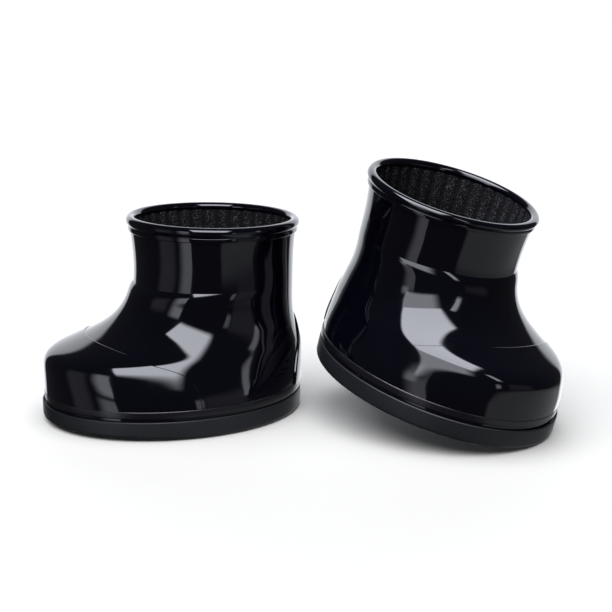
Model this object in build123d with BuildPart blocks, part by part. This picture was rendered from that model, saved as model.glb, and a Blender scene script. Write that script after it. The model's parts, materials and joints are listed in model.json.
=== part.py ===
from build123d import *
import math
import os

# A pair of short, wide, glossy pull-on ankle boots for a plush toy: one stands, one is tipped on its toe.
# The pair's frame: X along the pair, Y to its back, Z up, origin on the floor below the pair's middle.
# Each boot is drawn once, in its own frame: x to the toe, y across, z up from the underside of its sole.

# Outside of the upper. Each row: height, toe x, heel x, half width,
# how far the widest place sits toward the toe (a share),
# how square the outline is (a share, less is squarer).
# A smooth curve runs near these rows and reaches the first and the last.
STATIONS = [
    (0.0, 62.8, -40.5, 42.6, -0.06, 0.0),
    (5.0, 63.0, -40.5, 43.2, -0.06, -0.005),
    (10.0, 63.2, -40.6, 43.4, -0.07, -0.005),
    (15.0, 63.2, -40.8, 42.6, -0.07, -0.01),
    (20.0, 63.4, -41.4, 40.4, -0.08, -0.01),
    (24.5, 63.4, -41.8, 38.4, -0.09, -0.01),
    (27.5, 61.0, -41.4, 36.8, -0.1, -0.015),
    (30.5, 51.0, -40.4, 35.0, -0.1, -0.015),
    (34.5, 40.0, -39.2, 33.3, -0.1, -0.015),
    (39.5, 33.0, -39.0, 32.0, -0.08, -0.005),
    (45.5, 28.2, -39.2, 31.6, -0.06, 0.0),
    (50.5, 25.6, -39.3, 31.8, -0.04, 0.0),
    (55.0, 25.2, -39.4, 32.0, -0.02, 0.0),
    (62.0, 25.4, -39.8, 32.4, 0.0, 0.0),
    (69.0, 26.0, -40.4, 33.2, 0.0, 0.0),
    (74.0, 26.4, -40.8, 33.6, 0.0, 0.0),
]
outline_points = 16
sections_per_row = 2

# Wall
rubber_thickness = 1.5
lining_thickness = 0.8
toe_cap_rise = 0.35
rim_height = 74.0
ankle_height = 52.0

# Sole
outsole_top = 7.8
outsole_proud = 1.2
outsole_edge = 1.6
foxing_top = 11.4
foxing_proud = 0.6
foxing_edge = 0.3
foxing_groove = 0.3
midsole_top = 10.6
board_top = 11.4
insole_top = 13.4
tread_depth = 1.2
tread_width = 2.6
tread_pitch = 6.0
tread_margin = 6.0

# Toe cap edge in the boot's side view, as x, z from above the instep to the sole
toe_seam = [
    (53.0, 33.4),
    (46.0, 32.4),
    (39.0, 31.2),
    (32.0, 27.7),
    (21.0, 23.6),
    (17.0, 18.0),
    (16.0, 9.0),
    (16.0, 0.0),
]

# Collar: a rolled bead over the rim, with a narrow skirt below it on the outside
bead_radius = 1.9
bead_height = 75.2
bead_inset = 0.6
skirt_height = 2.4
skirt_proud = 0.55
skirt_gap = 0.05

# Heel tab: a raised patch with a pointed top
tab_rise = 1.1
tab_half_bottom = 30.0
tab_half_top = 17.0
tab_shoulder = 33.0
tab_point = 38.0

# Poses: the standing boot is flat on the floor, the tipped one leans on the edge of its sole near the toe
standing_spot = (-40.8, 12.3)
standing_yaw = 206.3
tipped_spot = (48.3, 4.8)
tipped_yaw = -56.5
tipped_pitch = 12.0
tipped_roll = -7.5


def blend(position):
    """The station at a position along the rows (0 is the first row), on a uniform cubic B-spline."""
    last = len(STATIONS) - 1
    start = min(int(position), last - 1)
    part_way = position - start
    weights = [
        (1 - part_way) ** 3 / 6,
        (3 * part_way**3 - 6 * part_way**2 + 4) / 6,
        (-3 * part_way**3 + 3 * part_way**2 + 3 * part_way + 1) / 6,
        part_way**3 / 6,
    ]
    values = [0.0] * 6
    for weight, row in zip(weights, range(start - 1, start + 3)):
        inside = min(max(row, 0), last)
        mirrored = 2 * inside - row
        for column in range(6):
            edge = STATIONS[inside][column]
            value = 2 * edge - STATIONS[mirrored][column] if row != inside else edge
            values[column] += weight * value
    return values


def outline(position, inset):
    """Height and points of the closed outline at a station, moved into the wall by a thickness."""
    height, toe, heel, half, shift, square = blend(position)
    step = 0.05
    low = blend(max(position - step, 0.0))
    high = blend(min(position + step, len(STATIONS) - 1.0))
    rise = high[0] - low[0]
    toe -= inset * math.hypot(1.0, (high[1] - low[1]) / rise)
    heel += inset * math.hypot(1.0, (high[2] - low[2]) / rise)
    half -= inset * math.hypot(1.0, (high[3] - low[3]) / rise)
    middle = (toe + heel) / 2
    reach = (toe - heel) / 2 / (1 + square)
    points = []
    for index in range(outline_points):
        turn = 2 * math.pi * index / outline_points
        x = middle + reach * (math.cos(turn) + square * math.cos(3 * turn))
        y = half / (1 + square) * (math.sin(turn) - square * math.sin(3 * turn))
        points.append((x, y * (1 + shift * math.cos(turn))))
    return height, points


def position_at(height):
    """The position along the rows where the smooth curve has a height."""
    low = 0.0
    high = len(STATIONS) - 1.0
    for _ in range(40):
        middle = (low + high) / 2
        if blend(middle)[0] < height:
            low = middle
        else:
            high = middle
    return low


def lofted(inset):
    """The solid inside the upper's outside surface, moved into the wall by a thickness."""
    with BuildPart() as body:
        for section in range((len(STATIONS) - 1) * sections_per_row + 1):
            height, points = outline(section / sections_per_row, inset)
            with BuildSketch(Plane.XY.offset(height)):
                with BuildLine():
                    Spline(*points, periodic=True)
                make_face()
        loft()
    return body.part


def slab(solid, low, high):
    """The part of a solid between two heights."""
    with BuildPart() as cut:
        add(solid)
        with BuildSketch(Plane.XY.offset(low)):
            Rectangle(400, 400)
        extrude(amount=high - low, mode=Mode.INTERSECT)
    return cut.part


def plate(inset, height, low, high):
    """A level plate with the outline that the upper has at a height."""
    points = outline(position_at(height), inset)[1]
    with BuildPart() as body:
        with BuildSketch(Plane.XY.offset(low)):
            with BuildLine():
                Spline(*points, periodic=True)
            make_face()
        extrude(amount=high - low)
    return body.part


outside = lofted(0.0)
rubber_inside = lofted(rubber_thickness)
lining_inside = lofted(rubber_thickness + lining_thickness)
cap_outside = lofted(-toe_cap_rise)
tab_outside = lofted(-tab_rise)

# Outsole: a plain slab with a rounded lower edge and bars of tread cut from below
with BuildPart() as outsole:
    add(plate(-outsole_proud, 5.0, 0.0, outsole_top))
    fillet(outsole.edges().group_by(Axis.Z)[0], radius=outsole_edge)
    with BuildSketch(Plane.XY):
        with GridLocations(tread_pitch, 0, 15, 1):
            Rectangle(tread_width, 100)
        with BuildLine():
            Spline(*outline(position_at(5.0), tread_margin)[1], periodic=True)
        make_face(mode=Mode.INTERSECT)
    extrude(amount=tread_depth, mode=Mode.SUBTRACT)

# Foxing: the band around the foot of the upper, between two grooves
with BuildPart() as foxing_band:
    add(plate(-foxing_proud, 9.5, outsole_top + foxing_groove, foxing_top))
    top_edges = foxing_band.edges().filter_by(GeomType.PLANE, reverse=True).group_by(Axis.Z)[-1]
    fillet(top_edges, radius=foxing_edge)
    add(outside, mode=Mode.SUBTRACT)

with BuildPart() as midsole:
    add(slab(rubber_inside, outsole_top, midsole_top))

with BuildPart() as insole_board:
    add(slab(rubber_inside, midsole_top, board_top))

with BuildPart() as insole:
    add(slab(lining_inside, board_top, insole_top))

# The foot of the upper, split into vamp and toe cap by the toe seam
with BuildPart() as toe_cap:
    add(slab(cap_outside, foxing_top, ankle_height))
    add(slab(outside, outsole_top, foxing_top))
    add(rubber_inside, mode=Mode.SUBTRACT)
    with BuildSketch(Plane.XZ):
        with BuildLine():
            seam = Spline(*toe_seam)
            Polyline(seam @ 1, (90.0, 0.0), (90.0, 42.0), seam @ 0)
        make_face()
    extrude(amount=60, both=True, mode=Mode.INTERSECT)

with BuildPart() as vamp:
    add(slab(outside, outsole_top, ankle_height))
    add(rubber_inside, mode=Mode.SUBTRACT)
    with BuildSketch(Plane.XZ):
        with BuildLine():
            seam = Spline(*toe_seam)
            Polyline(seam @ 1, (-60.0, 0.0), (-60.0, 60.0), (50.0, 60.0), seam @ 0)
        make_face()
    extrude(amount=60, both=True, mode=Mode.INTERSECT)

with BuildPart() as shaft:
    add(slab(outside, ankle_height, rim_height))
    add(rubber_inside, mode=Mode.SUBTRACT)

with BuildPart() as foot_lining:
    add(slab(rubber_inside, board_top, ankle_height))
    add(lining_inside, mode=Mode.SUBTRACT)

with BuildPart() as leg_lining:
    add(slab(rubber_inside, ankle_height, rim_height))
    add(lining_inside, mode=Mode.SUBTRACT)

# Collar: the rim is a true circle, so the bead and its skirt are one turned ring
rim_radius = STATIONS[-1][3]
rim_x = (STATIONS[-1][1] + STATIONS[-1][2]) / 2
with BuildPart() as collar_bead:
    with BuildSketch(Plane.XZ):
        with Locations((rim_x + rim_radius - bead_inset, bead_height)):
            Circle(bead_radius)
        with BuildLine():
            Polyline(
                (rim_x + rim_radius + skirt_gap, rim_height - skirt_height),
                (rim_x + rim_radius + skirt_proud, rim_height - skirt_height),
                (rim_x + rim_radius + skirt_proud, bead_height),
                (rim_x + rim_radius + skirt_gap, bead_height),
                close=True,
            )
        make_face()
        with Locations((rim_x + rim_radius + skirt_gap - 5.0, rim_height - 5.0)):
            Rectangle(10.0, 10.0, mode=Mode.SUBTRACT)
    revolve(axis=Axis((rim_x, 0, 0), (0, 0, 1)))

with BuildPart() as heel_tab:
    add(slab(tab_outside, foxing_top, tab_point))
    add(outside, mode=Mode.SUBTRACT)
    with BuildSketch(Plane.YZ):
        with BuildLine():
            Polyline(
                (-tab_half_bottom, foxing_top),
                (tab_half_bottom, foxing_top),
                (tab_half_top, tab_shoulder),
                (0.0, tab_point),
                (-tab_half_top, tab_shoulder),
                close=True,
            )
        make_face()
    extrude(amount=-60, mode=Mode.INTERSECT)

pieces = {
    "outsole": outsole.part,
    "foxing_band": foxing_band.part,
    "midsole": midsole.part,
    "insole_board": insole_board.part,
    "insole": insole.part,
    "toe_cap": toe_cap.part,
    "vamp": vamp.part,
    "shaft": shaft.part,
    "collar_bead": collar_bead.part,
    "heel_tab": heel_tab.part,
    "foot_lining": foot_lining.part,
    "leg_lining": leg_lining.part,
}

standing = Location((*standing_spot, 0.0)) * Rotation(0, 0, standing_yaw)
lean = Rotation(0, 0, tipped_yaw) * Rotation(0, tipped_pitch, 0) * Rotation(tipped_roll, 0, 0)
lift = -outsole.part.moved(lean).bounding_box().min.Z
tipped = Location((*tipped_spot, lift)) * lean

os.makedirs("parts", exist_ok=True)
for boot, place in (("standing", standing), ("tipped", tipped)):
    for name, piece in pieces.items():
        placed = piece.moved(place)
        placed.label = f"{boot}_{name}"
        export_step(placed, f"parts/{placed.label}.step")
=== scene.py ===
import json
import math

import bmesh
import bpy
import numpy as np
from mathutils import Euler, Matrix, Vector

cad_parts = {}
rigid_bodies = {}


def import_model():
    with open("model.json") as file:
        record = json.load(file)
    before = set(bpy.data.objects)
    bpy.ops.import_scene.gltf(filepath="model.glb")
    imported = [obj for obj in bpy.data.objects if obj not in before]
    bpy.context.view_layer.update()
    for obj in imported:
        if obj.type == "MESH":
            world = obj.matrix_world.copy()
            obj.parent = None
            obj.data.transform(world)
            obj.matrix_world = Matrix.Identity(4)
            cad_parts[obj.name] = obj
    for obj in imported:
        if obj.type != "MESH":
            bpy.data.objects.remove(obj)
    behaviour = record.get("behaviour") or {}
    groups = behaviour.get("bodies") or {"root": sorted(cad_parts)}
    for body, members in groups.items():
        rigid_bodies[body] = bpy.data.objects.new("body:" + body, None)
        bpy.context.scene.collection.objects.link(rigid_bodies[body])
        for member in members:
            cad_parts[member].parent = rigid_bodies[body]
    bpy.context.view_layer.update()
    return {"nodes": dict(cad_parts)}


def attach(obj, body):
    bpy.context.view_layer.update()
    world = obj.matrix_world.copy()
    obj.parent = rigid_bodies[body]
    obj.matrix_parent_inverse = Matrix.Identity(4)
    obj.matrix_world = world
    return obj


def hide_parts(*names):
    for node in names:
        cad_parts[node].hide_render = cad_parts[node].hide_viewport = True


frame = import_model()

# A pair of short, wide, glossy pull-on ankle boots for a plush toy. Shapes are worked out in
# millimetres in a boot's own frame (x to the toe, y across, z up from the underside of the sole) and
# then placed in the frame.
MM = 0.001

# Outside of the upper, split at the ankle and close to the CAD model's. Each row: height, toe x, heel x,
# half width, how far the widest place sits toward the toe (a share) and how square the outline is
# (a share, less is squarer).
FOOT = np.array([
    (0.0, 62.8, -40.5, 42.6, -0.06, 0.0),
    (5.0, 63.0, -40.5, 43.2, -0.06, -0.005),
    (10.0, 63.2, -40.6, 43.4, -0.07, -0.005),
    (15.0, 63.2, -40.8, 42.6, -0.07, -0.01),
    (20.0, 63.4, -41.4, 40.4, -0.08, -0.01),
    (24.5, 63.4, -41.8, 38.4, -0.09, -0.01),
    (27.5, 61.0, -41.4, 36.8, -0.1, -0.015),
    (30.5, 51.0, -40.4, 35.0, -0.1, -0.015),
    (34.5, 40.0, -39.2, 33.3, -0.1, -0.015),
    (39.5, 33.0, -39.0, 32.0, -0.08, -0.005),
    (45.5, 28.2, -39.2, 31.6, -0.06, 0.0),
    (49.0, 26.8, -39.25, 31.8, -0.05, 0.0),
    (52.0, 25.6, -39.3, 31.9, -0.035, 0.0),
])
LEG = np.array([
    (52.0, 25.6, -39.3, 31.9, -0.035, 0.0),
    (55.0, 25.3, -39.4, 31.95, -0.025, 0.0),
    (59.0, 25.2, -39.6, 32.1, -0.01, 0.0),
    (63.0, 25.35, -39.8, 32.4, 0.0, 0.0),
    (67.0, 25.7, -40.1, 32.8, 0.0, 0.0),
    (71.0, 26.1, -40.5, 33.25, 0.0, 0.0),
    (74.0, 26.4, -40.8, 33.6, 0.0, 0.0),
])
ANKLE = 52.0
RIM = 74.0
RIM_RADIUS = 33.6
RIM_X = -7.2

# Steps for measuring slopes along the rows and directions on the wall, and how finely curves are searched
ROW_STEP = 0.02
NUDGE = 1e-3
FINE = 4000

# The soft leg's tilt: the x it turns about, and the share of the leg's height where it stops growing
SAG_HINGE = -25.0
SAG_TOP = 1.2

# A soft roll just below the ankle, fullest at the front, that makes a crease with the leg above
ROLL_RISE = 1.35
ROLL_START = 2.5
ROLL_REACH = 8.5
ROLL_FULL = math.radians(50)
ROLL_NONE = math.radians(115)

# Wall thicknesses
RUBBER = 1.5
LINING = 0.8

# The sole slab: a proud lip, a narrow dark channel inside it and the step that the upper stands on
OUTSOLE_OUTLINE = 5.0
OUTSOLE_TOP = 7.8
OUTSOLE_PROUD = 1.2
OUTSOLE_EDGE = 1.6
OUTSOLE_TOP_EDGE = 0.4
OUTSOLE_INNER = 3.0
OUTSOLE_LIP = 7.4
CHANNEL_FLOOR = 6.4
SOLE_SHIFT = 0.4

# The curl of the tread at the toe: its height, where it starts and how far it runs
TOE_SPRING = 1.1
CURL_START = 10.0
CURL_LENGTH = 50.0

# Bars of tread across the underside, and how near the ends of the flat part one may come
TREAD_DEPTH = 1.2
TREAD_WIDTH = 2.6
TREAD_PITCH = 6.0
TREAD_MARGIN = 6.0
TREAD_COUNT = 15
TREAD_END = 1.0

FOXING_OUTLINE = 9.5
FOXING_LOW = 8.4
FOXING_TOP = 11.4
FOXING_PROUD = 0.6
FOXING_EDGE = 0.5
FOXING_DEPTH = 0.6
FOXING_CHAMFER = 0.1

# The footbed: each row of its edge is a share of the outline and a height
INSOLE_TOP = 13.4
INSOLE_GAP = 0.1
INSOLE_EDGE = [(1.0, 12.6), (0.995, 12.95), (0.98, 13.25), (0.955, 13.4)]
INSOLE_POINTS = 180
DIP_DEPTH = 0.45
DIP_X = -12.0
DIP_REACH = 18.0

# The toe cap's edge on one side, from the sole up to the instep: height, turn from the toe in degrees.
# The rise is how far the cap stands out of the upper, and the start is the least step, in rows, from the
# sole to the edge's next point.
TOE_SEAM = [(4.0, 85.0), (9.0, 85.0), (14.0, 84.7), (19.0, 83.6), (22.8, 81.0), (25.3, 75.0), (27.5, 65.0),
            (29.6, 53.0), (31.2, 38.0), (32.1, 20.0), (32.4, 0.0)]
CAP_RISE = 0.45
SEAM_START = 0.02

# The heel tab's edge on one side, from the foxing up to its point: height, distance from the middle
TAB_EDGE = [(11.4, 29.5), (16.0, 29.0), (21.0, 26.0), (27.0, 21.5), (32.0, 16.5), (34.5, 11.5), (37.0, 5.0),
            (38.2, 0.0)]
TAB_RISE = 0.8
TAB_DEPTH = 0.3
TAB_RIB_PITCH = 1.5
TAB_RIB_DEPTH = 0.22
TAB_RIB_TOP = 34.0
TAB_RIB_FADE = 1.5
TAB_BORDER = 3.0
TAB_CELL = 0.3
TAB_POINTS = 600

BEAD_RADIUS = 1.9
BEAD_HEIGHT = 75.2
BEAD_INSET = 0.6
SKIRT_HEIGHT = 2.4
SKIRT_PROUD = 0.55

# The knit's upright ribs: how many, points across each, height, sharpness (1 is a plain wave) and how
# much thinner than its average the knit is between them
RIB_COUNT = 36
RIB_POINTS = 12
RIB_DEPTH = 0.7
RIB_SHARP = 0.7
RIB_FURROW = 0.3
LINING_GAP = 0.02
LINING_CELL = 1.2

# Fineness of the meshes: points around the upper, around the collar, across the patches and along the wall
ROUND = 432
COLLAR_ROUND = 256
CAP_COLUMNS = 240
TAB_COLUMNS = 160
CELL = 0.7
CREASE = math.radians(40)

# Light and camera
LAMP_COLOR = (0.88, 0.9, 1.0)
AIM_HEIGHT = 0.04
FILL_ENERGY = 3.4
FILL_ANGLE = math.radians(80)
FILL_TILT = (math.radians(12), math.radians(-6), 0)
FLOOR_REACH = 6.0
FLOOR_HEIGHT = -0.0002
CAMERA_PLACE = (0.0032, -0.5, 0.1661)
CAMERA_PITCH = 13.79
CAMERA_LENS = 76.2
SENSOR_WIDTH = 36.0
CLIP_START = 0.01


# ---------------------------------------------------------------- shape

def spline(rows, position):
    """Rows read at positions along them (0 is the first row) on a uniform cubic B-spline that reaches
    both ends."""
    rows = np.asarray(rows, float)
    rows = np.vstack([2 * rows[0] - rows[1], rows, 2 * rows[-1] - rows[-2]])
    position = np.clip(position, 0, len(rows) - 3)
    start = np.minimum(position.astype(int), len(rows) - 4)
    t = (position - start)[..., None]
    weights = ((1 - t) ** 3, 3 * t**3 - 6 * t**2 + 4, -3 * t**3 + 3 * t**2 + 3 * t + 1, t**3)
    return sum(w * rows[start + k] for k, w in enumerate(weights)) / 6


def at_height(rows, height):
    """The position along the rows where the curve has a height."""
    fine = np.linspace(0, len(rows) - 1, FINE)
    return np.interp(height, spline(rows, fine)[:, 0], fine)


def surface(rows, position, turn, inset=0.0):
    """Points on the outside of the upper, moved into the wall by a thickness measured across the wall."""
    here = spline(rows, position)
    low = spline(rows, np.clip(position - ROW_STEP, 0, len(rows) - 1))
    high = spline(rows, np.clip(position + ROW_STEP, 0, len(rows) - 1))
    slope = (high - low)[..., 1:4] / (high - low)[..., :1]
    lean = np.sqrt(1 + slope**2)
    toe = here[..., 1] - inset * lean[..., 0]
    heel = here[..., 2] + inset * lean[..., 1]
    half = here[..., 3] - inset * lean[..., 2]
    shift, square = here[..., 4], here[..., 5]
    reach = (toe - heel) / 2 / (1 + square)
    x = (toe + heel) / 2 + reach * (np.cos(turn) + square * np.cos(3 * turn))
    y = half / (1 + square) * (np.sin(turn) - square * np.sin(3 * turn)) * (1 + shift * np.cos(turn))
    if rows is FOOT:
        below = ANKLE - here[..., 0]
        roll = ROLL_RISE * (1 - np.exp(-below / ROLL_START)) * np.exp(-((below / ROLL_REACH) ** 2))
        away = np.abs((turn + math.pi) % (2 * math.pi) - math.pi)
        fade = np.clip((away - ROLL_FULL) / (ROLL_NONE - ROLL_FULL), 0, 1)
        roll = roll * (0.5 + 0.5 * np.cos(math.pi * fade))
        x, y = x + roll * np.cos(turn), y + roll * np.sin(turn)
    return np.stack([x, y, here[..., 0] + 0 * turn], -1)


def unit(v):
    return v / np.maximum(np.linalg.norm(v, axis=-1, keepdims=True), 1e-12)


def outward(rows, position, turn):
    """Outward directions of the outside of the upper."""
    up = surface(rows, np.minimum(position + NUDGE, len(rows) - 1.0), turn)
    up = up - surface(rows, np.maximum(position - NUDGE, 0.0), turn)
    along = surface(rows, position, turn + NUDGE) - surface(rows, position, turn - NUDGE)
    return unit(np.cross(along, up))


def even(path, spacing):
    """Places along a fine path, as shares of its list, that are evenly spaced on it."""
    run = np.concatenate([[0], np.cumsum(np.linalg.norm(np.diff(path, axis=0), axis=1))])
    count = max(int(round(run[-1] / spacing)), 2)
    return np.interp(np.linspace(0, run[-1], count + 1), run, np.linspace(0, 1, len(path)))


def wall_positions(rows, low, high, spacing):
    """Positions along the rows between two heights, evenly spaced along the wall at the toe."""
    first, last = at_height(rows, low), at_height(rows, high)
    fine = np.linspace(first, last, FINE)
    return first + (last - first) * even(spline(rows, fine)[:, :2], spacing)


def outline(height, turn):
    """A level outline at a height: points on it and their level outward directions."""
    position = np.full(len(turn), at_height(FOOT, height))
    along = surface(FOOT, position, turn + NUDGE) - surface(FOOT, position, turn - NUDGE)
    along = unit(along[:, :2])
    return surface(FOOT, position, turn)[:, :2], np.stack([along[:, 1], -along[:, 0]], -1)


def arc(centre, radius, start, end, count):
    """Points on an arc in a cross-section, between two angles in degrees."""
    angles = np.radians(np.linspace(start, end, count))
    return [(centre[0] + radius * math.cos(a), centre[1] + radius * math.sin(a)) for a in angles]


# ---------------------------------------------------------------- meshes

class Shape:
    """Points in a boot's own frame, their directions for shading (zero for worked-out ones) and faces."""

    def __init__(self):
        self.points = []
        self.shading = []
        self.faces = []
        self.count = 0

    def add(self, points, shading=None):
        """Adds points and returns their numbers."""
        points = np.asarray(points, float)
        self.points.append(points.reshape(-1, 3))
        blank = np.zeros_like(points) if shading is None else shading
        self.shading.append(np.asarray(blank, float).reshape(-1, 3))
        first = self.count
        self.count += points.size // 3
        return np.arange(first, self.count).reshape(points.shape[:-1])

    def bridge(self, low, high, flip=False):
        """Joins two lists of points of one length with quads, or triangles where numbers repeat."""
        for a, b, c, d in zip(low[:-1], low[1:], high[1:], high[:-1]):
            face = []
            for corner in (d, c, b, a) if flip else (a, b, c, d):
                if int(corner) not in face:
                    face.append(int(corner))
            if len(face) > 2:
                self.faces.append(face)

    def grid(self, numbers, closed=False, flip=False):
        """Joins the rows of a table of points, each to the next."""
        if closed:
            numbers = np.concatenate([numbers, numbers[:, :1]], 1)
        for low, high in zip(numbers[:-1], numbers[1:]):
            self.bridge(low, high, flip)

    def piece(self, name, boot, material, slot):
        """Makes the piece on a boot, in place of that boot's CAD node of the same name."""
        turn, spot = boot["turn"], boot["spot"]
        used = np.unique(np.concatenate(self.faces))
        points, shading = settled(np.vstack(self.points)[used], np.vstack(self.shading)[used],
                                  boot["sag"], boot["spring"])
        world = (points @ turn.T + spot) * MM
        renumber = np.zeros(self.count, int)
        renumber[used] = np.arange(len(used))
        self.kept = used
        mesh = bpy.data.meshes.new(f"{boot['name']}_{name}_mesh")
        mesh.from_pydata(world.tolist(), [], [renumber[face].tolist() for face in self.faces])
        work = bmesh.new()
        work.from_mesh(mesh)
        bmesh.ops.recalc_face_normals(work, faces=work.faces)
        work.to_mesh(mesh)
        work.free()
        mesh.polygons.foreach_set("use_smooth", np.ones(len(mesh.polygons), bool))
        mesh.set_sharp_from_angle(angle=CREASE)
        shading = shading @ turn.T
        if np.any(shading):
            mesh.normals_split_custom_set_from_vertices(shading.tolist())
        made = bpy.data.objects.new(f"{boot['name']}_{name}_visual", mesh)
        bpy.context.scene.collection.objects.link(made)
        mesh.materials.append(material)
        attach(made, f"{boot['name']}_boot")
        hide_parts(f"{boot['name']}_{name}")
        return made


def settled(points, shading, sag, spring):
    """Points and shading directions as one boot stands. The soft leg's rim drops toward the toe by a
    share of the distance from its hinge, fading out at the ankle, and the tread curls up at the toe by
    the spring."""
    x, y, z = points.T
    forward = np.clip((x - CURL_START) / CURL_LENGTH, 0, 1)
    curl = spring * forward**2 * (3 - 2 * forward) * np.clip(1 - z / OUTSOLE_LIP, 0, 1)
    height = np.clip((z - ANKLE) / (RIM - ANKLE), 0, SAG_TOP)
    drop = sag * (x - SAG_HINGE) * height**2
    by_x = sag * height**2
    by_z = sag * (x - SAG_HINGE) * 2 * height / (RIM - ANKLE) * (height < SAG_TOP)
    moved = np.column_stack([x, y, z - drop + curl])
    up = shading[:, 2] / (1 - by_z)
    tilted = np.column_stack([shading[:, 0] + by_x * up, shading[:, 1], up])
    return moved, unit(tilted)


def level(points, height):
    """Flat points lifted to one height, or each to its own."""
    return np.column_stack([points, np.broadcast_to(height, len(points))])


def ring_solid(rings, shading=None):
    """A closed ring from level loops that follow one another around its cross-section."""
    shape = Shape()
    numbers = shape.add(rings, shading)
    shape.grid(np.concatenate([numbers, numbers[:1]]), closed=True)
    return shape


def swept(profile, height, turn):
    """A closed ring whose cross-section, as outward offset and height, follows the outline at a height."""
    points, out = outline(height, turn)
    return ring_solid(np.array([level(points + out * offset, z) for offset, z in profile]))


def turned(profile):
    """A closed ring turned about the leg's axis from a cross-section of radius and height."""
    angle = np.arange(COLLAR_ROUND) * 2 * math.pi / COLLAR_ROUND
    circle = np.column_stack([np.cos(angle), np.sin(angle)])
    return ring_solid(np.array([level(r * circle + (RIM_X, 0), z) for r, z in profile]))


def patch(positions, reach, centre, columns, rise, under, lip):
    """A raised patch on the foot. Its rows are level: at each position it spans the reach on both sides
    of the centre turn, and the last row is a point. The lip goes out and down from its edge: outward
    distance, height above the wall and how far the shading leans outward, in degrees."""
    shape = Shape()
    across = np.linspace(-1, 1, columns)
    at = np.repeat(positions[:, None], columns, 1)
    turn = centre + reach[:, None] * across
    base, normal = surface(FOOT, at, turn), outward(FOOT, at, turn)
    high = rise(base, across, reach)
    shading = normal if np.ndim(high) == 0 else np.zeros_like(normal)
    top = shape.add(base + normal * np.reshape(high, np.shape(high) + (1,)), shading)
    low = shape.add(base - normal * under)
    for numbers in (top, low):
        numbers[-1, :] = numbers[-1, 0]
    shape.grid(top)
    shape.grid(low, flip=True)
    # The edge, from the foot of one side over the point to the foot of the other
    rows = len(positions)
    side = [(r, 0) for r in range(rows)] + [(r, columns - 1) for r in range(rows - 2, -1, -1)]
    r, c = np.array(side).T
    edge, direction = base[r, c], normal[r, c]
    along = unit(np.gradient(edge, axis=0))
    out = unit(np.cross(direction, along))
    loops = [top[r, c]]
    for distance, height, lean in lip:
        angle = math.radians(lean)
        shade = direction * math.cos(angle) + out * math.sin(angle)
        loops.append(shape.add(edge + out * distance + direction * height, shade))
    loops.append(low[r, c])
    for inner, outer in zip(loops[:-1], loops[1:]):
        shape.bridge(inner, outer, flip=True)
    shape.bridge(low[0], top[0])
    shape.faces.append([int(loop[0]) for loop in loops])
    shape.faces.append([int(loop[-1]) for loop in reversed(loops)])
    return shape


def seam():
    """The toe cap's edge as fine lists of position and turn, evenly spaced, from the sole to the instep."""
    both = TOE_SEAM + [(height, -turn) for height, turn in reversed(TOE_SEAM[:-1])]
    fine = spline(both, np.linspace(0, len(TOE_SEAM) - 1, FINE))
    position = at_height(FOOT, fine[:, 0])
    turn = np.maximum(np.radians(fine[:, 1]), 0.0)
    shares = even(surface(FOOT, position, turn), CELL)
    at = np.linspace(0, 1, len(fine))
    place = np.interp(shares, at, position)
    foot = at_height(FOOT, OUTSOLE_TOP)
    turn = np.interp(shares, at, turn)
    keep = place > foot + SEAM_START
    place, turn = np.append(foot, place[keep]), np.append(turn[keep][0], turn[keep])
    turn[-1] = 0.0
    return place, turn


# ---------------------------------------------------------------- pieces

def toe_cap():
    """The cap over the toe, as thick as the wall and standing a little out of it, with a rounded lip."""
    positions, reach = seam()
    lip = [(0.12, CAP_RISE - 0.01, 15), (0.24, CAP_RISE - 0.06, 38), (0.34, CAP_RISE - 0.16, 62),
           (0.38, CAP_RISE - 0.28, 85), (0.38, -0.3, 90)]
    return patch(positions, reach, 0.0, CAP_COLUMNS, lambda *_: CAP_RISE, RUBBER, lip)


def vamp():
    """The foot of the upper behind the toe cap, up to the ankle."""
    positions, start = seam()
    above = wall_positions(FOOT, spline(FOOT, positions[-1:])[0, 0], ANKLE, CELL)[1:]
    positions = np.concatenate([positions, above])
    start = np.concatenate([start, np.zeros(len(above))])
    across = np.linspace(0, 1, ROUND + 1)
    at = np.repeat(positions[:, None], len(across), 1)
    turn = start[:, None] + (2 * math.pi - 2 * start[:, None]) * across
    base, normal = surface(FOOT, at, turn), outward(FOOT, at, turn)
    shape = Shape()
    outer = shape.add(base, normal)
    inner = shape.add(base - normal * RUBBER)
    closed = start == 0
    for numbers in (outer, inner):
        numbers[closed, -1] = numbers[closed, 0]
    shape.grid(outer)
    shape.grid(inner, flip=True)
    shape.bridge(inner[0], outer[0])
    shape.bridge(outer[-1], inner[-1])
    split = outer[:closed.argmax() + 1], inner[:closed.argmax() + 1]
    shape.bridge(split[0][:, 0], split[1][:, 0])
    shape.bridge(split[1][:, -1], split[0][:, -1])
    return shape


def shaft():
    """The leg of the upper, from the ankle to the rim."""
    positions = wall_positions(LEG, ANKLE, RIM, CELL)
    turn = np.arange(ROUND) * 2 * math.pi / ROUND
    at = np.repeat(positions[:, None], ROUND, 1)
    turn = np.repeat(turn[None], len(positions), 0)
    base, normal = surface(LEG, at, turn), outward(LEG, at, turn)
    inner = (base - normal * RUBBER)[::-1]
    inner[0, :, 2], inner[-1, :, 2] = RIM, ANKLE
    return ring_solid(np.concatenate([base, inner]), np.concatenate([normal, np.zeros_like(inner)]))


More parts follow.
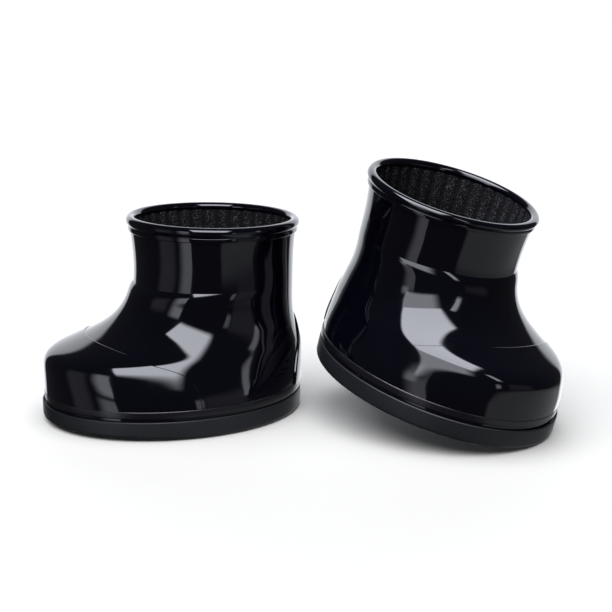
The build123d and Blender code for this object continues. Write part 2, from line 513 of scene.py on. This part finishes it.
def collar_bead():
    """A rolled bead over the rim, a small cove below it and a narrow skirt on the outside."""
    edge = RIM_RADIUS + SKIRT_PROUD
    low = RIM - SKIRT_HEIGHT
    profile = arc((RIM_RADIUS - BEAD_INSET, BEAD_HEIGHT), BEAD_RADIUS, 215, -52, 64)
    profile += arc((edge + 0.06, BEAD_HEIGHT - 1.75), 0.18, 130, 210, 8)
    profile += arc((edge - 0.25, BEAD_HEIGHT - 2.15), 0.25, 60, 0, 6)
    profile += arc((edge - 0.35, low + 0.35), 0.35, 0, -90, 10)
    profile += [(RIM_RADIUS - 0.1, low), (RIM_RADIUS - 0.1, RIM)]
    return turned(profile)


def foxing_band(turn):
    """The band around the foot of the upper, with rounded edges, above the sole's channel."""
    profile = arc((FOXING_PROUD - FOXING_EDGE, FOXING_LOW + FOXING_EDGE), FOXING_EDGE, -90, 0, 8)
    profile += arc((FOXING_PROUD - FOXING_EDGE, FOXING_TOP - FOXING_EDGE), FOXING_EDGE, 0, 90, 8)
    profile += [(-FOXING_DEPTH, FOXING_TOP - FOXING_CHAMFER), (-FOXING_DEPTH, FOXING_LOW + FOXING_CHAMFER)]
    return swept(profile[::-1], FOXING_OUTLINE, turn)


def outsole():
    """A slab with rounded edges and bars of tread across its underside. Returns it with the turns of the
    points around its outline."""
    edges = [TREAD_PITCH * (k - (TREAD_COUNT - 1) / 2) + side * TREAD_WIDTH / 2
             for k in range(TREAD_COUNT) for side in (-1, 1)]
    fine = np.linspace(0, math.pi, 20000)
    points, out = outline(OUTSOLE_OUTLINE, fine)
    inside = points - out * TREAD_MARGIN
    edges = [x for x in edges if inside[:, 0].min() + TREAD_END < x < inside[:, 0].max() - TREAD_END]
    corners = np.interp(-np.array(edges), -inside[:, 0], fine)
    stops = np.concatenate([[0], np.sort(corners), [math.pi]])
    half, is_corner = [], []
    for a, b in zip(stops[:-1], stops[1:]):
        count = max(int(math.ceil((b - a) / (2 * math.pi / 360))), 1)
        half += list(a + (b - a) * np.arange(count) / count)
        is_corner += [a > 0] + [False] * (count - 1)
    half.append(math.pi)
    is_corner.append(False)
    turn = np.concatenate([half, 2 * math.pi - np.array(half[-2:0:-1])])
    last = len(half) - 1
    points, out = outline(OUTSOLE_OUTLINE, turn)
    flat = OUTSOLE_PROUD - OUTSOLE_EDGE
    top_corner = (OUTSOLE_PROUD - OUTSOLE_TOP_EDGE, OUTSOLE_LIP - OUTSOLE_TOP_EDGE)
    profile = [(-TREAD_MARGIN, 0.0), (-OUTSOLE_INNER, 0.0)]
    profile += arc((flat, OUTSOLE_EDGE), OUTSOLE_EDGE, -90, 0, 12)
    profile += arc(top_corner, OUTSOLE_TOP_EDGE, 0, 90, 8)
    profile += [(0.65, OUTSOLE_LIP - 0.1), (0.5, OUTSOLE_LIP - 0.4), (0.4, CHANNEL_FLOOR),
                (-0.3, CHANNEL_FLOOR), (-0.4, OUTSOLE_TOP), (-OUTSOLE_INNER, OUTSOLE_TOP)]
    shape = Shape()
    rings = [level(points + out * offset, z) for offset, z in profile]
    numbers = shape.add(np.array(rings))
    shape.grid(numbers, closed=True)
    shape.faces.append([int(n) for n in numbers[-1]])
    # The underside inside the margin: flat bars and, between them, grooves with their own floors and walls
    floor = shape.add(level(rings[0][:, :2], TREAD_DEPTH))
    rim = numbers[0]
    cuts = [0] + [k for k in range(last) if is_corner[k]] + [last]
    for index, (a, b) in enumerate(zip(cuts[:-1], cuts[1:])):
        groove = index % 2 == 1
        loop = floor if groove else rim
        near = [int(loop[k]) for k in range(a, b + 1)]
        far = [int(loop[(2 * last - k) % (2 * last)]) for k in range(a, b + 1)]
        face = near + [n for n in reversed(far) if n not in near]
        shape.faces.append(face[::-1])
        if groove:
            other = [int(rim[k]) for k in range(a, b + 1)]
            beyond = [int(rim[(2 * last - k) % (2 * last)]) for k in range(a, b + 1)]
            shape.bridge(other, near, flip=True)
            shape.bridge(beyond, far)
            shape.faces.append([near[0], other[0], beyond[0], far[0]])
            shape.faces.append([far[-1], beyond[-1], other[-1], near[-1]])
    for points in shape.points:
        points[:, 0] += SOLE_SHIFT
    return shape, turn


def insole():
    """A thin foam footbed with a soft edge and a slight dip under the heel."""
    turn = np.arange(INSOLE_POINTS) * 2 * math.pi / INSOLE_POINTS
    position = np.full(len(turn), at_height(FOOT, INSOLE_TOP))
    edge = surface(FOOT, position, turn, RUBBER + LINING + INSOLE_GAP)[:, :2]
    middle = edge.mean(0)
    rings = [level(edge, FOXING_TOP)]
    for share, z in INSOLE_EDGE:
        rings.append(level(middle + (edge - middle) * share, z))
    for share in np.linspace(0.92, 0.05, 30):
        flat = middle + (edge - middle) * share
        dip = DIP_DEPTH * np.exp(-((flat[:, 0] - DIP_X) / DIP_REACH) ** 2 - (flat[:, 1] / DIP_REACH) ** 2)
        rings.append(level(flat, INSOLE_TOP - dip))
    shape = Shape()
    numbers = shape.add(np.array(rings))
    shape.grid(numbers, closed=True)
    shape.faces.append([int(n) for n in numbers[-1]])
    shape.faces.append([int(n) for n in numbers[0][::-1]])
    return shape


def heel_tab():
    """A raised tab over the heel with a plain border and level ribs inside it."""
    both = TAB_EDGE + [(height, -side) for height, side in reversed(TAB_EDGE[:-1])]
    fine = spline(both, np.linspace(0, len(TAB_EDGE) - 1, FINE))
    heights = spline(both, (len(TAB_EDGE) - 1) * even(fine, TAB_CELL))
    turns = np.linspace(math.pi / 2, math.pi, TAB_POINTS)
    positions = at_height(FOOT, heights[:, 0])
    reach = []
    for position, side in zip(positions, heights[:, 1]):
        across = surface(FOOT, np.full(TAB_POINTS, position), turns)[:, 1]
        reach.append(math.pi - np.interp(-side, -across, turns))
    reach = np.array(reach)
    reach[-1] = 0.0

    def rise(base, across, reach):
        z, y = base[..., 2], np.abs(base[..., 1])
        limit = np.interp(z, heights[:, 0], heights[:, 1])
        room = np.clip((limit - y - TAB_BORDER) / TAB_RIB_FADE, 0, 1)
        room = room * np.clip((TAB_RIB_TOP - z) / TAB_RIB_FADE, 0, 1)
        room = room * np.clip((z - FOXING_TOP - TAB_RIB_FADE) / TAB_RIB_FADE, 0, 1)
        ribs = (0.5 - 0.5 * np.cos(2 * math.pi * z / TAB_RIB_PITCH)) ** 2
        return TAB_RISE - TAB_RIB_DEPTH * room * ribs

    lip = [(0.25, TAB_RISE - 0.05, 20), (0.45, TAB_RISE - 0.2, 45), (0.55, TAB_RISE - 0.45, 75),
           (0.6, -0.3, 90)]
    return patch(positions, reach, math.pi, TAB_COLUMNS, rise, TAB_DEPTH, lip)


def lining(rows, low, high):
    """A knit tube against the inside of the rubber, with upright ribs. Returns it with the rib height,
    from 0 to 1, of each point."""
    positions = wall_positions(rows, low, high, LINING_CELL)
    count = RIB_COUNT * RIB_POINTS
    turn = np.arange(count) * 2 * math.pi / count
    crest = (0.5 + 0.5 * np.cos(RIB_COUNT * turn)) ** RIB_SHARP
    depth = RUBBER + LINING - RIB_FURROW + RIB_DEPTH * crest
    rings, ribs = [], []
    for position in positions:
        at = np.full(count, position)
        rings.append(surface(rows, at, turn) - outward(rows, at, turn) * depth[:, None])
        ribs.append(crest)
    for position in positions[::-1]:
        at = np.full(count, position)
        rings.append(surface(rows, at, turn) - outward(rows, at, turn) * (RUBBER + LINING_GAP))
        ribs.append(0 * crest)
    return ring_solid(np.array(rings)), np.array(ribs).reshape(-1)


# ---------------------------------------------------------------- materials

class Paint:
    """A material's nodes. Its patterns keep to the object."""

    def __init__(self, name):
        self.material = bpy.data.materials.new(name)
        self.material.use_nodes = True
        self.tree = self.material.node_tree
        self.shader = self.tree.nodes["Principled BSDF"]
        self.place = self.add("ShaderNodeTexCoord").outputs["Object"]

    def add(self, kind, links=None, **settings):
        """A new node with settings, and links or constants on its sockets."""
        node = self.tree.nodes.new(kind)
        for key, value in settings.items():
            setattr(node, key, value)
        for socket, source in (links or {}).items():
            self.link(source, node.inputs[socket])
        return node

    def link(self, source, socket):
        if isinstance(source, bpy.types.NodeSocket):
            self.tree.links.new(source, socket)
        else:
            socket.default_value = source

    def noise(self, size, detail=2.0, stretch=(1, 1, 1)):
        """Noise with features of a size in millimetres, from 0 to 1."""
        spread = self.add("ShaderNodeVectorMath", {0: self.place, 1: stretch}, operation="MULTIPLY")
        links = {"Vector": spread.outputs[0], "Scale": 1 / (size * MM), "Detail": detail}
        return self.add("ShaderNodeTexNoise", links).outputs["Fac"]

    def cells(self, size):
        """Distance from the middle of the nearest of many cells of a size in millimetres."""
        links = {"Vector": self.place, "Scale": 1 / (size * MM)}
        return self.add("ShaderNodeTexVoronoi", links, feature="F1").outputs["Distance"]

    def ramp(self, source, low, high, start=0.0, end=1.0):
        """A value from low to high as the source goes from start to end."""
        links = {"Value": source, "From Min": start, "From Max": end, "To Min": low, "To Max": high}
        return self.add("ShaderNodeMapRange", links, clamp=True).outputs["Result"]

    def mix(self, share, low, high):
        """A colour from low to high by a share."""
        node = self.add("ShaderNodeMix", data_type="RGBA")
        factor, first, second = node.inputs["Factor"], node.inputs[6], node.inputs[7]
        for socket, source in ((factor, share), (first, low), (second, high)):
            self.link((*source, 1.0) if isinstance(source, tuple) else source, socket)
        return node.outputs[2]

    def bump(self, source, depth, below=None):
        """Relief of a depth in millimetres, over another relief."""
        links = {"Height": source, "Distance": depth * MM, "Strength": 1.0}
        if below:
            links["Normal"] = below
        return self.add("ShaderNodeBump", links).outputs["Normal"]

    def finish(self, color, roughness, normal=None, **extra):
        """Sets the shader's sockets and returns the material."""
        self.link(color, self.shader.inputs["Base Color"])
        self.link(roughness, self.shader.inputs["Roughness"])
        if normal:
            self.link(normal, self.shader.inputs["Normal"])
        for key, value in extra.items():
            self.shader.inputs[key.replace("_", " ")].default_value = value
        return self.material


def gloss_paint():
    """Glossy near-black moulded PVC with a blue cast, a faint waviness and slight differences of gloss."""
    paint = Paint("gloss_upper")
    color = paint.mix(paint.noise(14), (0.0003, 0.0003, 0.0011), (0.0008, 0.0008, 0.0024))
    roughness = paint.ramp(paint.noise(9, 4), 0.035, 0.085, 0.35, 0.7)
    waves = paint.bump(paint.noise(16, 1), 0.10)
    return paint.finish(color, roughness, paint.bump(paint.noise(2.5), 0.0012, waves), IOR=1.52)


def outsole_paint():
    """Matte charcoal rubber with a fine grain and rubbed patches."""
    paint = Paint("outsole_rubber")
    color = paint.mix(paint.noise(7, 5), (0.0028, 0.003, 0.004), (0.0055, 0.006, 0.008))
    roughness = paint.ramp(paint.noise(4, 4), 0.42, 0.58)
    return paint.finish(color, roughness, paint.bump(paint.noise(0.35, 3), 0.015))


def foxing_paint():
    """Satin black rubber."""
    paint = Paint("foxing_rubber")
    color = paint.mix(paint.noise(10, 4), (0.002, 0.002, 0.003), (0.004, 0.004, 0.006))
    roughness = paint.ramp(paint.noise(5, 4), 0.2, 0.32)
    return paint.finish(color, roughness, paint.bump(paint.noise(0.8, 3), 0.008))


def foam_paint():
    """Dark grey foam with open cells, its colour darker in the hollows of the cells, which is painted shade
    in the pits.
    """
    paint = Paint("midsole_foam")
    cells = paint.cells(0.6)
    # Colour from the cell distance, darker in the pits of the relief: painted shade.
    color = paint.mix(cells, (0.02, 0.02, 0.022), (0.05, 0.05, 0.054))
    return paint.finish(color, 0.85, paint.bump(cells, 0.1))


def board_paint():
    """Brown fibre board with its fibres along the foot."""
    paint = Paint("insole_board")
    fibres = paint.noise(3, 5, (1, 6, 1))
    color = paint.mix(fibres, (0.16, 0.12, 0.08), (0.26, 0.2, 0.14))
    return paint.finish(color, 0.8, paint.bump(fibres, 0.05))


def insole_paint():
    """Dark felted fabric over foam."""
    paint = Paint("insole_fabric")
    fuzz = paint.noise(0.5, 4)
    color = paint.mix(paint.ramp(fuzz, 0, 1, 0.35, 0.75), (0.003, 0.003, 0.004), (0.02, 0.02, 0.024))
    return paint.finish(color, 0.92, paint.bump(fuzz, 0.12), Sheen_Weight=0.05)


def knit_paint():
    """Black ribbed knit. Its crests are flecked with paler fibre ends, which is the knit's own colour; the
    flecks are dimmed toward the furrows between by the rib height, which is painted shade.
    """
    paint = Paint("knit_lining")
    rib = paint.add("ShaderNodeAttribute", attribute_name="rib").outputs["Fac"]
    stitches = paint.cells(0.62)
    fleck = paint.noise(0.5, 3)
    pale = paint.ramp(fleck, 0, 1, 0.53, 0.68)
    # Fleck strength by rib height: the flecks are the fibre's own colour, and their dimming into the
    # furrows is painted shade.
    raised = paint.ramp(rib, 0.08, 1.0, 0.15, 0.8)
    flecks_with_furrow_shade = paint.add("ShaderNodeMath", {0: pale, 1: raised}, operation="MULTIPLY")
    color = paint.mix(flecks_with_furrow_shade.outputs[0], (0.0012, 0.0012, 0.0018), (0.055, 0.056, 0.062))
    knots = paint.bump(stitches, 0.35)
    return paint.finish(color, 0.9, paint.bump(fleck, 0.15, knots), Specular_IOR_Level=0.2)


# ---------------------------------------------------------------- boots

def rotation(x=0.0, y=0.0, z=0.0):
    """Turns by degrees about x, then y, then z."""
    return np.array(Euler([math.radians(a) for a in (x, y, z)]).to_matrix())


# Where each boot stands, how much its leg sags toward the toe and how far its tread curls up. The tipped
# boot rests on the toe edge of its sole, so its tread stays flat.
BOOTS = [
    {
        "name": "standing",
        "turn": rotation(z=206.3),
        "spot": np.array([-40.8, 12.3, 0.0]),
        "sag": -0.02,
        "spring": TOE_SPRING,
    },
    {
        "name": "tipped",
        "turn": rotation(-7.5, 12.0, -56.5),
        "spot": np.array([48.3, 4.8, 14.3]),
        "sag": 0.05,
        "spring": 0.0,
    },
]

gloss, foxing, rubber = gloss_paint(), foxing_paint(), outsole_paint()
felt, knit, foam, board = insole_paint(), knit_paint(), foam_paint(), board_paint()
sole, sole_turn = outsole()
leg_shape, leg_ribs = lining(LEG, ANKLE, RIM)
foot_shape, foot_ribs = lining(FOOT, FOXING_TOP, ANKLE)
shapes = {
    "outsole": (sole, rubber, "outsole"),
    "foxing_band": (foxing_band(sole_turn), foxing, "foxing"),
    "toe_cap": (toe_cap(), gloss, "gloss_upper"),
    "vamp": (vamp(), gloss, "gloss_upper"),
    "shaft": (shaft(), gloss, "gloss_upper"),
    "collar_bead": (collar_bead(), gloss, "gloss_upper"),
    "heel_tab": (heel_tab(), gloss, "gloss_upper"),
    "insole": (insole(), felt, "insole_fabric"),
    "leg_lining": (leg_shape, knit, "knit_lining"),
    "foot_lining": (foot_shape, knit, "knit_lining"),
}
ribs = {"leg_lining": leg_ribs, "foot_lining": foot_ribs}
for boot in BOOTS:
    for name, (shape, material, slot) in shapes.items():
        made = shape.piece(name, boot, material, slot)
        if name in ribs:
            heights = made.data.attributes.new("rib", "FLOAT", "POINT")
            heights.data.foreach_set("value", ribs[name][shape.kept])
    for name, material in (("midsole", foam), ("insole_board", board)):
        node = frame["nodes"][f"{boot['name']}_{name}"]
        for holder in node.material_slots:
            holder.material = material


# ---------------------------------------------------------------- stage, light and camera

def studio_world():
    """White to the camera. In reflections it is pale behind the boots, dim in front and a little lighter
    low on the right."""
    world = bpy.data.worlds.new("studio")
    bpy.context.scene.world = world
    world.use_nodes = True
    tree = world.node_tree
    tree.nodes.clear()

    def add(kind, **settings):
        node = tree.nodes.new(kind)
        for key, value in settings.items():
            setattr(node, key, value)
        return node

    def ramp(source, start, end, low, high):
        node = add("ShaderNodeMapRange", clamp=True, interpolation_type="SMOOTHSTEP")
        tree.links.new(source, node.inputs["Value"])
        limits = {"From Min": start, "From Max": end, "To Min": low, "To Max": high}
        for socket, value in limits.items():
            node.inputs[socket].default_value = value
        return node.outputs["Result"]

    direction = add("ShaderNodeSeparateXYZ")
    tree.links.new(add("ShaderNodeTexCoord").outputs["Generated"], direction.inputs[0])
    back = ramp(direction.outputs["Y"], 0.74, 0.8, 0.05, 1.6)
    below = ramp(direction.outputs["Z"], -0.25, -0.42, 0.0, 0.4)
    right = ramp(direction.outputs["X"], 0.2, 0.28, 0.0, 1.0)
    total = add("ShaderNodeMath", operation="MULTIPLY_ADD")
    for source, socket in ((below, 0), (right, 1), (back, 2)):
        tree.links.new(source, total.inputs[socket])
    around = add("ShaderNodeBackground")
    around.inputs["Color"].default_value = (0.92, 0.95, 1.0, 1.0)
    tree.links.new(total.outputs[0], around.inputs["Strength"])
    seen = add("ShaderNodeBackground")
    seen.inputs["Color"].default_value = (1.0, 1.0, 1.0, 1.0)
    path = add("ShaderNodeLightPath")
    either = add("ShaderNodeMixShader")
    tree.links.new(path.outputs["Is Camera Ray"], either.inputs[0])
    tree.links.new(around.outputs[0], either.inputs[1])
    tree.links.new(seen.outputs[0], either.inputs[2])
    tree.links.new(either.outputs[0], add("ShaderNodeOutputWorld").inputs[0])


def fade_edges(light, soft):
    """Dims a light toward its left, right, lower and upper edges, each over a share of its size."""
    light.use_nodes = True
    tree = light.node_tree
    split = tree.nodes.new("ShaderNodeSeparateXYZ")
    tree.links.new(tree.nodes.new("ShaderNodeNewGeometry").outputs["Parametric"], split.inputs[0])
    total = None
    sides = (("X", 0), ("X", 1), ("Y", 0), ("Y", 1))
    for (axis, start), share in zip(sides, soft):
        node = tree.nodes.new("ShaderNodeMapRange")
        node.interpolation_type = "SMOOTHSTEP"
        tree.links.new(split.outputs[axis], node.inputs["Value"])
        limits = {"From Min": start, "From Max": abs(start - share), "To Min": 0, "To Max": 1}
        for socket, value in limits.items():
            node.inputs[socket].default_value = value
        if total:
            product = tree.nodes.new("ShaderNodeMath")
            product.operation = "MULTIPLY"
            tree.links.new(total, product.inputs[0])
            tree.links.new(node.outputs["Result"], product.inputs[1])
            total = product.outputs[0]
        else:
            total = node.outputs["Result"]
    tree.links.new(total, tree.nodes["Emission"].inputs["Strength"])


def softbox(boot, name, azimuth, elevation, wide, high, radiance, soft):
    """A rectangular light that faces the boots and lights one of them. Azimuth 0 is the camera's side
    and 90 is the right. Wide and high are how large it looks from the boots. All are in degrees."""
    light = bpy.data.lights.new(f"{boot}_{name}", "AREA")
    light.shape = "RECTANGLE"
    light.size = 2 * SOFTBOX_DISTANCE * math.tan(math.radians(wide / 2))
    light.size_y = 2 * SOFTBOX_DISTANCE * math.tan(math.radians(high / 2))
    light.energy = radiance * math.pi * light.size * light.size_y
    light.color = LAMP_COLOR
    fade_edges(light, soft)
    lamp = bpy.data.objects.new(light.name, light)
    a, e = math.radians(azimuth), math.radians(elevation)
    away = Vector((math.sin(a) * math.cos(e), -math.cos(a) * math.cos(e), math.sin(e)))
    lamp.location = away * SOFTBOX_DISTANCE + Vector((0, 0, AIM_HEIGHT))
    lamp.rotation_euler = away.to_track_quat("Z", "Y").to_euler()
    bpy.context.scene.collection.objects.link(lamp)
    lamp.light_linking.receiver_collection = bpy.data.collections[f"{boot}_pieces"]


def fill_sun():
    """A broad overhead light for the floor and the matte parts. It doesn't show in reflections."""
    light = bpy.data.lights.new("fill", "SUN")
    light.energy = FILL_ENERGY
    light.angle = FILL_ANGLE
    lamp = bpy.data.objects.new("fill", light)
    lamp.rotation_euler = FILL_TILT
    lamp.visible_glossy = False
    bpy.context.scene.collection.objects.link(lamp)


def floor():
    """A plain pale floor, seen by the camera but left out of the reflections."""
    mesh = bpy.data.meshes.new("floor_mesh")
    signs = ((-1, -1), (1, -1), (1, 1), (-1, 1))
    corners = [(x * FLOOR_REACH, y * FLOOR_REACH, FLOOR_HEIGHT) for x, y in signs]
    mesh.from_pydata(corners, [], [(0, 1, 2, 3)])
    paint = Paint("floor_paper")
    color = paint.mix(paint.noise(60, 3), (0.9, 0.9, 0.9), (0.92, 0.92, 0.92))
    mesh.materials.append(paint.finish(color, 0.8))
    made = bpy.data.objects.new("floor", mesh)
    bpy.context.scene.collection.objects.link(made)
    made.visible_glossy = False


def camera():
    """The camera, in front of the pair and looking a little down."""
    data = bpy.data.cameras.new("camera")
    data.lens = CAMERA_LENS
    data.sensor_width = SENSOR_WIDTH
    data.clip_start = CLIP_START
    made = bpy.data.objects.new("camera", data)
    made.location = CAMERA_PLACE
    made.rotation_euler = (math.radians(90 - CAMERA_PITCH), 0, 0)
    bpy.context.scene.collection.objects.link(made)
    bpy.context.scene.camera = made


# Each boot's own set: name, azimuth, elevation, apparent width and height in degrees, radiance, and the
# shares of the light that fade at its left, right, lower and upper edges
SOFTBOX_DISTANCE = 1.4
SOFTBOXES = {
    "standing": [
        ("key", 1, 48, 44, 42, 10.0, (0.05, 0.16, 0.26, 0.1)),
        ("left_high", -38, 14, 20, 28, 2.6, (0.6, 0.02, 0.3, 0.3)),
        ("left_low", -38, -12, 20, 28, 1.5, (0.6, 0.02, 0.1, 0.3)),
        ("left_wall", -64, 2, 34, 50, 0.28, (0.3, 0.3, 0.1, 0.3)),
        ("right_strip", 31, 2, 7, 26, 1.2, (0.1, 0.4, 0.3, 0.3)),
        ("right_wall", 52, 0, 38, 44, 0.2, (0.1, 0.3, 0.3, 0.3)),
        ("right_slit", 65.5, 13, 8, 26, 1.9, (0.3, 0.3, 0.2, 0.2)),
    ],
    "tipped": [
        ("key", -25, 75, 46, 44, 10.5, (0.06, 0.12, 0.12, 0.1)),
        ("key_skirt", -25, 39, 46, 36, 4.3, (0.05, 0.3, 0.2, 0.02)),
        ("left", -47, 0, 19, 56, 1.0, (0.6, 0.03, 0.1, 0.3)),
        ("left_top", -50, 20, 13, 20, 2.0, (0.4, 0.4, 0.4, 0.4)),
        ("right_strip", 29, 35, 9, 32, 5.0, (0.05, 0.5, 0.3, 0.1)),
        ("right_low", 20, -2, 8, 18, 2.2, (0.3, 0.3, 0.3, 0.3)),
        ("right_wall", 52, -2, 40, 34, 0.16, (0.1, 0.3, 0.3, 0.3)),
    ],
}
studio_world()
floor()
fill_sun()
for boot in BOOTS:
    group = bpy.data.collections.new(f"{boot['name']}_pieces")
    for made in list(bpy.context.scene.objects):
        if made.type == "MESH" and made.name.startswith(boot["name"]):
            group.objects.link(made)
    for row in SOFTBOXES[boot["name"]]:
        softbox(boot["name"], *row)
camera()
bpy.context.scene.view_settings.view_transform = "Standard"
